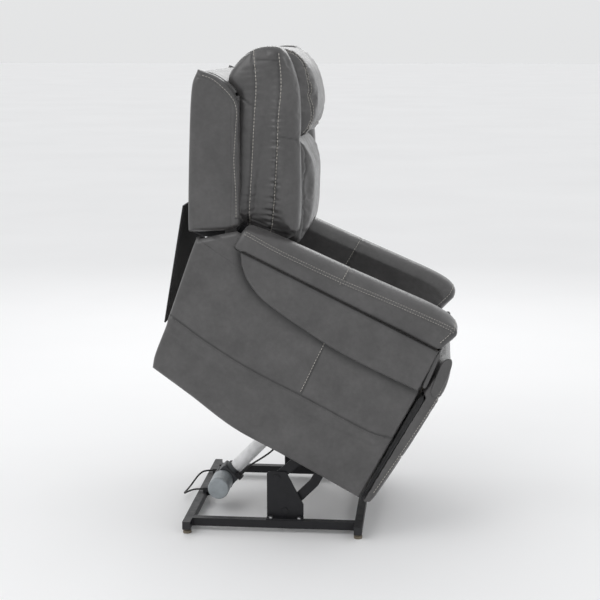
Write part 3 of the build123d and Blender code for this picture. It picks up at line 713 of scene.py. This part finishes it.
# ---- leads ----
LEAD = 6
ACTUATOR_FOOT = Vector((-225, 0, 46)) * MM           # base frame
ACTUATOR_HEAD = Vector((-256, 0, 166)) * MM          # chair frame
FOOT_PLACE = Vector(JOINTS["actuator_tilt"]["pos_m"])
FOOT_PLACE.y = 0
BASE = Matrix.Translation(FOOT_PLACE - ACTUATOR_FOOT)
REACH = CHAIR @ ACTUATOR_HEAD - FOOT_PLACE
ACTUATOR = Matrix.Translation(FOOT_PLACE) @ Matrix.Rotation(-math.atan2(REACH.z, REACH.x), 4, "Y")
BASE_LEAD = [(-262, -28, 47), (-288, -28, 47), (-312, -30, 38), (-327, -14, 26), (-331, 12, 20),
             (-328, 44, 19), (-322, 80, 23), (-314, 118, 32), (-304, 152, 42), (-288, 178, 47),
             (-262, 178, 47)]
ACTUATOR_LEAD = [(114, -26, -25), (146, -26, -25), (190, -23, -37), (238, -19, -45), (286, -16, -34),
                 (322, -16, -34)]


def lead(name, points, place, body):
    """A round lead on one smooth curve. Returns it with its end points."""
    data = bpy.data.curves.new(name, "CURVE")
    data.dimensions = "3D"
    data.bevel_depth = LEAD / 2 * MM
    data.bevel_resolution = 4
    data.resolution_u = 16
    data.use_fill_caps = True
    line = data.splines.new("NURBS")
    line.points.add(len(points) - 1)
    route = [place @ (Vector(p) * MM) for p in points]
    for point, where in zip(line.points, route):
        point.co = (*where, 1)
    line.order_u = 3
    line.use_endpoint_u = True
    obj = linked(name, data)
    data.materials.append(MATERIALS["lead_black"])
    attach(obj, body)
    return obj, route


base_lead, base_route = lead("base_supply_lead", BASE_LEAD, BASE, "base")
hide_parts("base_lead")
motor_lead, motor_route = lead("motor_lead", ACTUATOR_LEAD, ACTUATOR, "actuator")
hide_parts("actuator_lead")


# ---- side covers ----
PIPING = [(-767, 195), (-619, 181), (-468, 177), (-313, 186), (-179, 191), (-76, 197), (-14, 213)]
FOLD = [(-746, 153), (-569, 144), (-394, 152), (-304, 151), (-49, 174)]
OVERLAY_EDGE = [(-678, 466), (-652, 432), (-614, 403), (-560, 381), (-492, 371), (-400, 364), (-300, 360),
                (-200, 364), (-22, 379)]
SIDE_SEAM = [(-326, 362), (-320, 280), (-313, 190)]


def band_foot(x):
    """Height of the lower edge of the arm's outer band."""
    return 468 + (x + 670) * 43 / 635


def ripple(x, z, seed, size=110.0):
    """Slow uneven hollows of stretched leather, about -1 to 1."""
    rng = np.random.default_rng(seed)
    total = np.zeros_like(x)
    for _ in range(9):
        turn, phase = rng.uniform(0, math.pi), rng.uniform(0, 2 * math.pi)
        period = size * rng.uniform(0.6, 1.9)
        total += np.sin(2 * math.pi * (x * math.cos(turn) + z * math.sin(turn)) / period + phase)
    return total / 4.5


def side_relief(x, z, d):
    """Rise of the side's leather: ripples, crowned edge, piping, fold, seam, and tuck below the overlay."""
    points = np.stack([x, z], -1)
    piping = distance_to(points, smooth_line(PIPING, 300))
    fold = distance_to(points, smooth_line(FOLD, 300))
    seam = distance_to(points, smooth_line(SIDE_SEAM, 160))
    tuck = distance_to(points, smooth_line(OVERLAY_EDGE, 300))
    above = z > np.interp(x, [p[0] for p in PIPING], [p[1] for p in PIPING])
    band = z - band_foot(x)
    inside = np.clip(d / 60, 0, 1)
    out = 1.3 * inside * ripple(x, z, 5) + 2.6 * np.sin(np.pi * np.clip(d / 180, 0, 0.5)) - 3.2
    out -= 3.6 * np.exp(-(piping / 3.4) ** 2)
    out += np.where(above, 0, 1.8 * np.exp(-(piping / 26) ** 2))
    out += 2.0 * np.exp(-(fold / 9) ** 2) - 1.8 * np.exp(-((fold - 14) / 8) ** 2)
    out -= 1.5 * np.exp(-(seam / 2.6) ** 2)
    out -= 7.0 * np.exp(-(tuck / 14) ** 2)
    return out - np.clip(band / 12, 0, 1) * 9


def side_cover():
    """The whole side panel."""
    grid = patch([(-737, 24), (-597, 9), (-434, -11), (-253, -5), (0, 0)],
                 [(-720, 513), (-500, 511), (-250, 509), (-26, 507)],
                 [(-737, 24), (-750, 65), (-763, 154), (-773, 203), (-812, 421), (-802, 440), (-720, 513)],
                 [(0, 0), (-7, 190), (-14, 386), (-26, 507)], 250, 190)
    return padded_slab(grid, PANEL_INSIDE, 375, 4, 15, side_relief)


def overlay_relief(x, z, d):
    """Rise of the overlay's leather, which tucks in below the arm's band."""
    tuck = 6 * np.clip((z - band_foot(x)) / 10, 0, 1)
    return 0.8 * np.clip(d / 40, 0, 1) * ripple(x, z, 8, 90) - tuck


def overlay():
    """The curved panel laid over the top of the side."""
    grid = patch(OVERLAY_EDGE, [(-676, 472), (-500, 484), (-250, 500), (-30, 513)],
                 [(-678, 466), (-677, 469), (-676, 472)], [(-22, 379), (-24, 440), (-30, 513)], 230, 60)
    return padded_slab(grid, 362, 383, 3, 8, overlay_relief)


for side_name, sign in SIDES.items():
    cover = new_object(f"side_cover_{side_name}", side_cover(), LEATHER, "chair", sign)
    upholstered(cover, f"side_panel_{side_name}", fill=0.35)
    # Painted shade along the piping, the side seam and under the overlay's edge.
    for line, width in ((PIPING, 3.6), (SIDE_SEAM, 2.6), (OVERLAY_EDGE, 17)):
        gap = distance_to(in_chair(cover)[:, [0, 2]], smooth_line(line, 300))
        paint_seam_shade(cover, np.exp(-(gap / width) ** 2))
    flap = new_object(f"side_overlay_{side_name}", overlay(), LEATHER, "chair", sign)
    upholstered(flap, fill=0.45)
    shape = in_chair(flap)
    # Painted shade on the overlay where it tucks in under the arm's band.
    paint_seam_shade(flap, 0.7 * (shape[:, 2] - band_foot(shape[:, 0]) + 8) / 12)
    outward = Vector((0, sign, 0))
    surface = Surface(cover)
    rough = [to_row(x, ARM_OUTSIDE, z, sign) for x, z in smooth_line(SIDE_SEAM, 20)]
    stitches = stitch_rows(surface, places(surface.lay(rough, 400, outward)), [4.5 * sign], seed=4)
    sewn_on(f"side_seam_stitches_{side_name}", stitches, "chair")
    rough = [to_row(x, ARM_OUTSIDE, z - 3, sign) for x, z in smooth_line(PIPING, 40)[1:-1]]
    cord = strip_mesh(smoothed(surface.lay(rough, outward=outward)), 4, 1.6)
    sewn_on(f"side_piping_{side_name}", cord, "chair", LEATHER)


# ---- arms ----
WELT = [(-706, 524), (-568, 528), (-373, 547), (-227, 567), (-56, 587), (-8, 585)]
CREST = [(-706, 542), (-650, 551), (-559, 563), (-376, 583), (-223, 601), (-111, 614), (-53, 614), (-22, 603),
         (-6, 590)]
WELT_LINE, CREST_LINE = smooth_line(WELT, 200), smooth_line(CREST, 200)


def arm_section(x):
    """Closed (y, z) section of the arm at x, outer band to inner face, and the edge radius at each point."""
    low = band_foot(x)
    welt = float(np.interp(x, WELT_LINE[:, 0], WELT_LINE[:, 1]))
    crest = float(np.interp(x, CREST_LINE[:, 0], CREST_LINE[:, 1]))
    rise = crest - welt
    outer = smooth_line([(372, low), (377, low + 8), (378, (low + welt) / 2), (377, welt - 6),
                         (371, welt + 8), (354, welt + rise * 0.66), (330, welt + rise * 0.95), (303, crest),
                         (284, crest - 3), (269, crest - 15), (262, crest - 40), (261, 470), (261, 400),
                         (263, 362)], 64)
    inner = np.array([(268, 358), (276, 362), (277, 430), (277, low - 4), (300, low), (340, low)])
    section = np.vstack([outer, inner])
    radius = np.concatenate([np.full(44, 14.0), np.full(20, 7.0), np.full(6, 3.0)])
    return section, radius


def arm_front(z):
    """X of the arm's front face at a height."""
    return np.interp(z, [358, 512, 575, 600], [-30, -28, -9, -6])


def arm_shell():
    """The arm's cover, from behind the back's side cushion to its front face."""
    rear, length = -706, 700
    near_end = [0, 1.5, 4, 8, 14]
    steps = np.concatenate([near_end, np.linspace(22, length - 22, 80), [length - k for k in near_end[::-1]]])
    rings = []
    for s in steps:
        section, radius = arm_section(rear + s)
        inward = inward_of(section)
        gap = np.minimum(s, length - s)
        sunk = section + inward * np.array([rounding(gap, r) for r in radius])[:, None]
        x = rear + s / length * (arm_front(section[:, 1]) - rear)
        rings.append(np.column_stack([x, sunk[:, 0], sunk[:, 1]]))
    return ring_mesh(rings)


def arm_cross_seam(x=-374):
    """Points of the seam across the arm's top and down its inner face."""
    section, _ = arm_section(x)
    return [(x, y, z) for y, z in section[8:62]]


def front_edge_seam():
    """Points of the seam just behind the arm's front edge."""
    section, _ = arm_section(-40)
    return [(float(arm_front(z)) - 14, y, z) for y, z in section[4:62]]


arm = new_object("arm_left", arm_shell(), LEATHER, "chair")
inflate(arm, voxel=7, pressure=2.2, cap=6, frames=10)
shape = in_chair(arm)
shape[:, 1] = np.clip(shape[:, 1], ARM_INSIDE, ARM_OUTSIDE)
shape[:, 0] = np.minimum(shape[:, 0], -4)
set_in_chair(arm, shape)
cross = [to_row(*p) for p in smooth_line(arm_cross_seam(), 200)]
front = [to_row(*p) for p in smooth_line(front_edge_seam(), 200)]
seam_in(arm, [cross, front], width=3.6, depth=2.6)
pleats(arm, cross, reach=22, depth=0.7, period=26, seed=6)
pleats(arm, front, reach=26, depth=1.0, period=24, seed=7)
for side_name, sign in SIDES.items():
    piece = arm if sign == 1 else mirrored(arm, "arm_right", "chair")
    subdivided(piece)
    upholstered(piece, f"arm_pad_{side_name}", fill=0.7)
    surface = Surface(piece)
    rough = [to_row(x, ARM_OUTSIDE - 4, z + 1, sign) for x, z in smooth_line(WELT, 60)[1:-1]]
    laid = surface.lay(rough)
    sewn_on(f"arm_welt_{side_name}", strip_mesh(laid, 15, 2.4), "chair", LEATHER)
    rows = [stitch_mesh(laid, offset=beside, raised=2.0, length=5, gap=3.2, thick=0.55, seed=9)
            for beside in (-4.4, 4.4)]
    sewn_on(f"arm_welt_stitches_{side_name}", joined(*rows), "chair")
    rows = []
    for line in (cross, front):
        rough = [Vector((p.x, p.y * sign, p.z)) for p in line]
        rows.append(stitch_rows(surface, rough, [-6 * sign], seed=10))
    sewn_on(f"arm_seam_stitches_{side_name}", joined(*rows), "chair")


# ---- back ----
WING_IN, WING_OUT = 308, 341
WING_EDGE = [(-1056, 864), (-1022, 873), (-992, 874), (-938, 862), (-902, 838), (-869, 783), (-834, 722),
             (-778, 625), (-727, 530)]


def wing_relief(x, z, d):
    """Rise of the wing's leather, with a groove beside its front strip."""
    points = np.stack([x, z], -1)
    strip = distance_to(points, smooth_line(WING_EDGE, 300))
    crown = np.clip(d / 50, 0, 1) * ripple(x, z, 12, 120) + 1.5 * np.clip(d / 90, 0, 1) - 2.5
    return crown - 1.6 * np.exp(-((strip - 22) / 2.5) ** 2)


def wing():
    """The wing at the side of the back."""
    grid = patch([(-842, 437), (-800, 462), (-746, 498)],
                 [(-1056, 864), (-992, 874), (-938, 862), (-902, 838)],
                 [(-842, 437), (-858, 452), (-957, 633), (-1042, 800), (-1056, 864)],
                 [(-746, 498), (-727, 520), (-731, 540), (-778, 625), (-834, 722), (-902, 838)], 90, 190, 0.4)
    return padded_slab(grid, WING_IN, WING_OUT, 6, 17, wing_relief)


for side_name, sign in SIDES.items():
    piece = new_object(f"wing_{side_name}", wing(), LEATHER, "backrest", sign)
    upholstered(piece, f"back_wing_{side_name}", fill=0.4)
    surface = Surface(piece)
    middle = np.array([-890, 650])
    inner_line = []
    for x, z in smooth_line(WING_EDGE, 70)[2:-1]:
        pull = middle - np.array([x, z])
        inner_line.append(np.array([x, z]) + pull / np.linalg.norm(pull) * 12)
    rough = [to_row(x, WING_OUT, z, sign) for x, z in inner_line]
    laid = surface.lay(rough, outward=Vector((0, sign, 0)))
    sewn_on(f"wing_welt_{side_name}", strip_mesh(laid, 13, 2.0), "backrest", LEATHER)
    outer, inner = (3.8, -3.8) if sign > 0 else (-3.8, 3.8)
    stitches = stitch_mesh(laid, offset=outer, raised=1.6, thick=0.7, seed=13)
    sewn_on(f"wing_stitches_{side_name}", stitches, "backrest")
    stitches = stitch_mesh(laid, offset=inner, raised=1.6, thick=0.6, seed=14)
    sewn_on(f"wing_inner_stitches_{side_name}", stitches, "backrest", DARK_THREAD)

BOLSTER = [(-980, 890), (-958, 990), (-892, 1042), (-850, 1026), (-782, 972), (-724, 884), (-700, 830),
           (-648, 744), (-568, 600), (-570, 555), (-600, 524), (-690, 512), (-760, 520), (-808, 590),
           (-895, 755), (-935, 830)]
HEAD_PILLOW = [(-972, 880), (-956, 980), (-884, 1036), (-840, 1046), (-793, 1028), (-753, 990), (-716, 938),
               (-690, 890), (-694, 830), (-790, 800), (-915, 800)]
LUMBAR = [(-900, 800), (-790, 812), (-688, 822), (-640, 776), (-606, 712), (-564, 632), (-540, 562),
          (-562, 526), (-690, 516), (-770, 530)]
SEAM_OUTER = [(-949, 989), (-893, 908), (-846, 814), (-774, 671), (-704, 526)]
SEAM_INNER = [(-880, 1018), (-829, 945), (-784, 850), (-723, 733), (-654, 587), (-640, 540)]
CROSS_SEAMS = (((-922, 971), (-864, 1003)), ((-910, 852), (-867, 851)),
               ((-762, 810), (-730, 820), (-706, 828)))
PILLOW_HALF = 190
WIDE, NARROW = 302, 258


def bolster_limit(points):
    """How far out the bolster may reach: beside the arm it keeps to the seat's width."""
    arm_top = np.interp(points[:, 0], CREST_LINE[:, 0], CREST_LINE[:, 1])
    above = np.clip((points[:, 2] - arm_top - 2) / 24, 0, 1)
    behind = np.clip((-714 - points[:, 0]) / 20, 0, 1)
    share = np.maximum(above, behind)
    return NARROW + (WIDE - NARROW) * share * share * (3 - 2 * share)


start = PILLOW_HALF - 2
filling = pillow(BOLSTER, start, WIDE - 4, 26, inset=5)
bolster = new_object("back_bolster_cover_left", filling, LEATHER, "backrest")
shape = in_chair(bolster)
shape[:, 1] = start + (shape[:, 1] - start) * (bolster_limit(shape) - 4 - start) / (WIDE - 4 - start)
set_in_chair(bolster, shape)
inflate(bolster, voxel=5, pressure=4, cap=16)
shape = in_chair(bolster)
slack = (bolster_limit(shape) - shape[:, 1]) / 4
shape[:, 1] += 4 * (slack - np.log1p(np.exp(np.clip(slack, -30, 30))))
set_in_chair(bolster, shape)
outward = Vector((0, 1, 0))
surface = Surface(bolster)
lines = []
for points, count in ((SEAM_OUTER, 60), (SEAM_INNER, 60), *((points, 30) for points in CROSS_SEAMS)):
    rough = [to_row(x, WIDE, z) for x, z in smooth_line(points, count)]
    lines.append(places(surface.lay(rough, 400, outward)))
seam_in(bolster, lines, width=3.2, depth=3.2)
pleats(bolster, lines[0], reach=26, depth=1.6, period=24, seed=14)
pleats(bolster, lines[1], reach=24, depth=3.0, period=20, seed=15, pull=0.8)
for side_name, sign in SIDES.items():
    piece = bolster if sign == 1 else mirrored(bolster, "back_bolster_cover_right", "backrest")
    subdivided(piece)
    upholstered(piece, f"back_bolster_{side_name}", fill=0.8)
    surface = Surface(piece)
    rows = []
    for line in lines[:2]:
        rough = [Vector((p.x, p.y * sign, p.z)) for p in line]
        rows.append(stitch_rows(surface, rough, [-4.5 * sign], length=7.5, thick=1.0, seed=16))
    sewn_on(f"bolster_stitches_{side_name}", joined(*rows), "backrest")


def cushion(name, outline, body, node, half, fill, cap=18, pressure=4, radius=24):
    """A swollen cushion over the middle of the chair that keeps to its width."""
    piece = new_object(name, pillow(outline, -half + 4, half - 4, radius, inset=5), LEATHER, body)
    inflate(piece, pressure=pressure, cap=cap)
    shape = in_chair(piece)
    shape[:, 1] = np.clip(shape[:, 1], -half, half)
    set_in_chair(piece, shape)
    upholstered(piece, node, fill=fill)
    return piece


def across(x, z, half, count=60):
    """A line square to the chair's middle."""
    return [to_row(x, y, z) for y in np.linspace(-half, half, count)]


def end_lines(piece, outline):
    """Lines just inside both ends of a cushion, along a part of its outline."""
    lines = []
    for sign in SIDES.values():
        edge = [to_row(x, 176 * sign, z) for x, z in smooth_line(outline, 60)]
        lines.append(places(Surface(piece).lay(edge, 300)))
    return lines


def sewn(piece, lines, groove, seed, **gathers):
    """Presses seams of equal width and depth into a cushion and gathers the leather beside them."""
    seam_in(piece, lines, width=groove, depth=groove)
    for k, line in enumerate(lines):
        pleats(piece, line, seed=seed + k, **gathers)
    subdivided(piece)


head = cushion("head_pillow_cover", HEAD_PILLOW, "backrest", "head_pillow", PILLOW_HALF, 0.85)
head_lines = [places(Surface(head).lay(across(-690, 868, 184), 300)), *end_lines(head, HEAD_PILLOW[2:9])]
sewn(head, head_lines, 4.5, reach=44, depth=2.4, period=24, seed=20)

lumbar = cushion("lumbar_cushion_cover", LUMBAR, "backrest", "lumbar_cushion", PILLOW_HALF, 0.8)
sewn(lumbar, end_lines(lumbar, LUMBAR[2:7]), 4, reach=40, depth=1.8, period=27, seed=24)
rows = [stitch_rows(Surface(head), line, [o], seed=26) for line in head_lines for o in (-5, 5)]
sewn_on("pillow_stitches", joined(*rows), "backrest")

POST_COVER = [(-744, 470), (-706, 470), (-911, 851), (-950, 851)]
for side_name, sign in SIDES.items():
    edges = [smooth_line([a, b], 6)[:-1] for a, b in zip(POST_COVER, POST_COVER[1:] + POST_COVER[:1])]
    strip = pillow(np.vstack(edges), 270, 309, 3, count=120, step=20)
    upholstered(new_object(f"back_side_cover_{side_name}", strip, LEATHER, "backrest", sign))

BACK_FOOT = [(-846, 440), (-842, 478), (-812, 540), (-742, 542), (-722, 512), (-738, 476), (-800, 440)]
BACK_LINING = [(-750, 448), (-716, 446), (-702, 458), (-703, 500), (-722, 548), (-760, 548)]
for name, outline, half, radius in (("back_foot_cloth", BACK_FOOT, 306, 8),
                                    ("back_foot_lining", BACK_LINING, 256, 5)):
    cloth = pillow(outline, -half, half, radius, count=60, step=40)
    new_object(name, cloth, MATERIALS["black_cloth"], "backrest")

OUTSIDE_BACK = [(-842, 466), (-832, 474), (-925, 640), (-1018, 812), (-1010, 846), (-940, 852), (-925, 860),
                (-945, 870), (-1000, 876), (-1040, 864), (-1050, 826), (-957, 633), (-860, 452)]
shell = pillow(OUTSIDE_BACK, -309, 309, 5, count=200, step=8)
back = new_object("outside_back_cover", shell, LEATHER, "backrest")
shape = in_chair(back)
swell = np.cos(shape[:, 1] / 309 * math.pi / 2) * np.sin(np.clip((shape[:, 2] - 450) / 400, 0, 1) * math.pi)
shape[:, 0] -= 4 * np.abs(swell) * (shape[:, 0] < np.interp(shape[:, 2], [450, 830], [-845, -1030]))
shape[:, 0] += 0.7 * ripple(shape[:, 1], shape[:, 2], 30, 130)
set_in_chair(back, shape)
seam_in(back, [across(-1046, 838, 300, 200)], width=4, depth=2.5)
subdivided(back)
upholstered(back, "outside_back", fill=0.4)
surface = Surface(back)
laid = surface.lay(across(-1060, 828, 298))
sewn_on("outside_back_stitches", stitch_mesh(laid, seed=31), "backrest")


# ---- seat and footrest ----
SEAT = [(-570, 336), (-300, 333), (-34, 336), (-18, 400), (-20, 465), (-44, 498), (-110, 508), (-300, 476),
        (-520, 450), (-572, 428)]
seat = cushion("seat_cushion_cover", SEAT, "chair", "seat_cushion", ARM_INSIDE - 3, 0.8, cap=14, radius=20)
shape = in_chair(seat)
shape[:, 0] = np.minimum(shape[:, 0], -8)
shape[:, 2] = np.maximum(shape[:, 2], 330)
set_in_chair(seat, shape)
seat_line = places(Surface(seat).lay(across(-60, 530, 250), 300))
seam_in(seat, [seat_line], width=4, depth=3.5)
pleats(seat, seat_line, reach=40, depth=1.3, period=33, seed=34)
subdivided(seat)
rows = stitch_rows(Surface(seat), seat_line, (-6, 6), seed=35)
sewn_on("seat_stitches", rows, "chair")

PAD = [(8, -2), (26, -2), (38, 12), (46, 174), (50, 300), (51, 384), (46, 440), (32, 484), (16, 500),
       (2, 490), (-6, 462), (-6, 398), (2, 368), (8, 340), (8, 180)]
PAD_EDGE = [(34, 470), (43, 440), (49, 384), (48, 300), (43, 150), (36, 30)]
pad = cushion("footrest_pad_cover", PAD, "footrest", "footrest_pad", 376, 0.7, cap=7, pressure=2, radius=12)
shape = in_chair(pad)
low_back = shape[:, 2] < 372
shape[:, 0] = np.clip(shape[:, 0], np.where(low_back, 12, -4), 48)
shape[:, 2] = np.maximum(shape[:, 2], -2)
set_in_chair(pad, shape)
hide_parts("footrest_board")
surface = Surface(pad)
pad_lines = [places(surface.lay(across(x, z, 368), 300)) for x, z in ((52, 388), (48, 172))]
sewn(pad, pad_lines, 4.5, reach=38, depth=1.2, period=34, seed=40)
surface = Surface(pad)
rows = [stitch_rows(surface, line, (-6, 6), seed=42) for line in pad_lines]
for sign in SIDES.values():
    edge = [to_row(x - 9, 378, z, sign) for x, z in smooth_line(PAD_EDGE, 60)]
    rows.append(stitch_mesh(surface.lay(edge, outward=Vector((0, sign, 0))), seed=43))
sewn_on("footrest_stitches", joined(*rows), "footrest")

TAB = [(-3, 490), (10, 511), (24, 500), (35, 450), (36, 402), (26, 388), (12, 398), (3, 440)]
ARM_FACE = [(-29, 104), (-20, 106), (-19, 300), (-20, 500), (-29, 506), (-29.5, 300)]
LINING = [(4, 14), (10, 14), (11, 190), (10, 352), (-5, 352), (-1, 190)]
STRIP = [(-30, 498), (-18, 502), (-6, 420), (-6, 398), (-18, 404)]
for side_name, sign in SIDES.items():
    for name, form, body, fill in (
            ("footrest_tab", pillow(TAB, 362, 380, 5, count=70), "footrest", 0.5),
            ("arm_front_strip", pillow(STRIP, 340, 374, 4, count=60), "chair", 0.4),
            ("arm_front_cover", pillow(ARM_FACE, 263, 345, 3, count=90), "chair", 0.3)):
        upholstered(new_object(f"{name}_{side_name}", form, LEATHER, body, sign), fill=fill)
    lining = new_object(f"footrest_lining_{side_name}", pillow(LINING, 300, 368, 3, count=70, step=20),
                        MATERIALS["black_cloth"], "footrest", sign)


# ---- floor and light ----
def floor():
    """A pale floor that reaches the horizon."""
    make = Shader("studio_floor", Specular_IOR_Level=0.2)
    shade = make.between(make.noise(0.6, 3), (0.9, 0.9, 0.905), (0.93, 0.93, 0.935))
    material = make.finish(shade, make.between(make.noise(3), (0.7,), (0.85,)))
    mesh = bpy.data.meshes.new("floor")
    far = 80                                         # metres
    mesh.from_pydata([(-far, -far, 0), (far, -far, 0), (far, far, 0), (-far, far, 0)], [], [(0, 1, 2, 3)])
    mesh.materials.append(material)
    linked("floor", mesh)


def lamp(name, place, aim, size, power):
    """A rectangular soft light."""
    data = bpy.data.lights.new(name, "AREA")
    data.shape = "RECTANGLE"
    data.size, data.size_y = size
    data.energy = power
    obj = linked(name, data)
    obj.location = place
    obj.rotation_euler = (Vector(aim) - Vector(place)).to_track_quat("-Z", "Y").to_euler()


def world():
    """Pale studio surround, a little brighter overhead, that meets the floor's tone at the horizon."""
    made = bpy.data.worlds.new("studio")
    bpy.context.scene.world = made
    made.use_nodes = True
    tree = made.node_tree
    where = tree.nodes.new("ShaderNodeTexCoord").outputs["Generated"]
    parts = tree.nodes.new("ShaderNodeSeparateXYZ")
    ramp = tree.nodes.new("ShaderNodeValToRGB")
    ramp.color_ramp.elements[0].position = 0.0
    ramp.color_ramp.elements[0].color = (0.775, 0.78, 0.785, 1)
    ramp.color_ramp.elements[1].position = 0.35
    ramp.color_ramp.elements[1].color = (0.87, 0.875, 0.88, 1)
    tree.links.new(where, parts.inputs[0])
    tree.links.new(parts.outputs[2], ramp.inputs[0])
    tree.links.new(ramp.outputs[0], tree.nodes["Background"].inputs["Color"])


floor()
world()
bpy.context.scene.view_settings.view_transform = "Standard"
lamp("key", (-2.2, -2.8, 3.2), (0, -0.3, 0.5), (2.2, 2.2), 26)
lamp("back", (-0.3, 3.4, 2.9), (0, 0, 0.9), (3.6, 1.4), 32)
